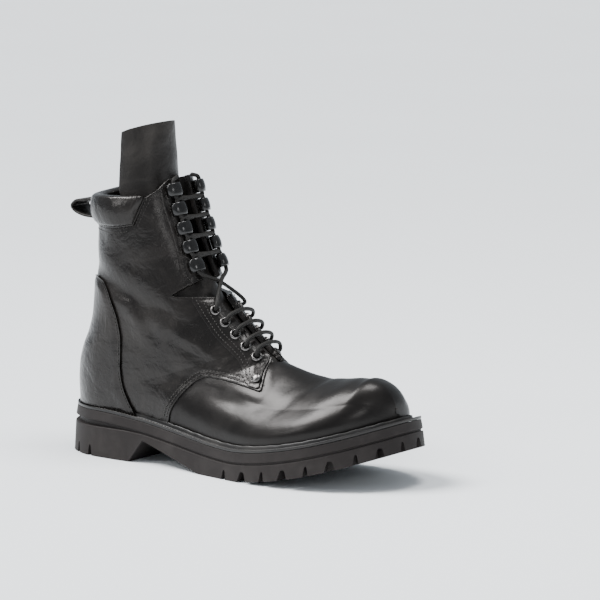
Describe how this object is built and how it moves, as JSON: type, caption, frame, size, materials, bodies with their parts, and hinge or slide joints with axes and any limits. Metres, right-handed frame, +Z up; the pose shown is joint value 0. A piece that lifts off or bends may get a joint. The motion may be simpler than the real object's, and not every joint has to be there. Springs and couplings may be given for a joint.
{
  "type": "combat boot",
  "caption": "Lace-up ankle combat boot for the right foot: hollow leather upper with facings, speed hooks, padded cuff and inner side zip on a welted lug sole with a block heel.",
  "frame": {"origin": "on the floor plane under the middle of the bounding box", "axes": "+X to the toe, +Z up, +Y to the inner (left) side of this right boot, -Y to the outer side"},
  "size_m": [0.3154, 0.1136, 0.2613],
  "materials": {
    "leather": "near black smooth leather with a soft sheen",
    "lining": "matt dark lining board",
    "rubber": "matt moulded rubber",
    "welt": "satin edge with a stitched channel",
    "blackMetal": "glossy black",
    "steel": "bright satin",
    "gunmetal": "dark polished",
    "cord": "matt round woven lace",
    "tape": "matt woven tape"
  },
  "bodies": {
    "boot": {"cuff": "leather", "eyelet_inner_1": "gunmetal", "eyelet_inner_2": "gunmetal", "eyelet_inner_3": "gunmetal", "eyelet_inner_4": "gunmetal", "eyelet_inner_5": "gunmetal", "eyelet_outer_1": "gunmetal", "eyelet_outer_2": "gunmetal", "eyelet_outer_3": "gunmetal", "eyelet_outer_4": "gunmetal", "eyelet_outer_5": "gunmetal", "facing_lower_inner": "leather", "facing_lower_outer": "leather", "facing_upper_inner": "leather", "facing_upper_outer": "leather", "heel_counter": "leather", "hook_inner_1": "blackMetal", "hook_inner_2": "blackMetal", "hook_inner_3": "blackMetal", "hook_inner_4": "blackMetal", "hook_inner_5": "blackMetal", "hook_outer_1": "blackMetal", "hook_outer_2": "blackMetal", "hook_outer_3": "blackMetal", "hook_outer_4": "blackMetal", "hook_outer_5": "blackMetal", "insole": "lining", "lace_bar_1": "cord", "lace_bar_2": "cord", "lace_bar_3": "cord", "lace_bar_4": "cord", "lace_upper": "cord", "midsole": "rubber", "outsole": "rubber", "pull_loop": "leather", "rivet_inner": "gunmetal", "rivet_outer": "gunmetal", "tongue": "leather", "upper": "leather", "welt": "welt", "zip_slider": "steel", "zip_tape": "tape", "zip_teeth": "steel"},
    "zip_pull": {"zip_pull": "steel"}
  },
  "joints": [
    {"name": "zip_pull_hinge", "type": "hinge", "parent": "boot", "child": "zip_pull", "pos_m": [-0.0949, 0.04383, 0.20245], "axis": [0.955, 0.1216, 0.2705], "range_deg": [0, 150]}
  ]
}
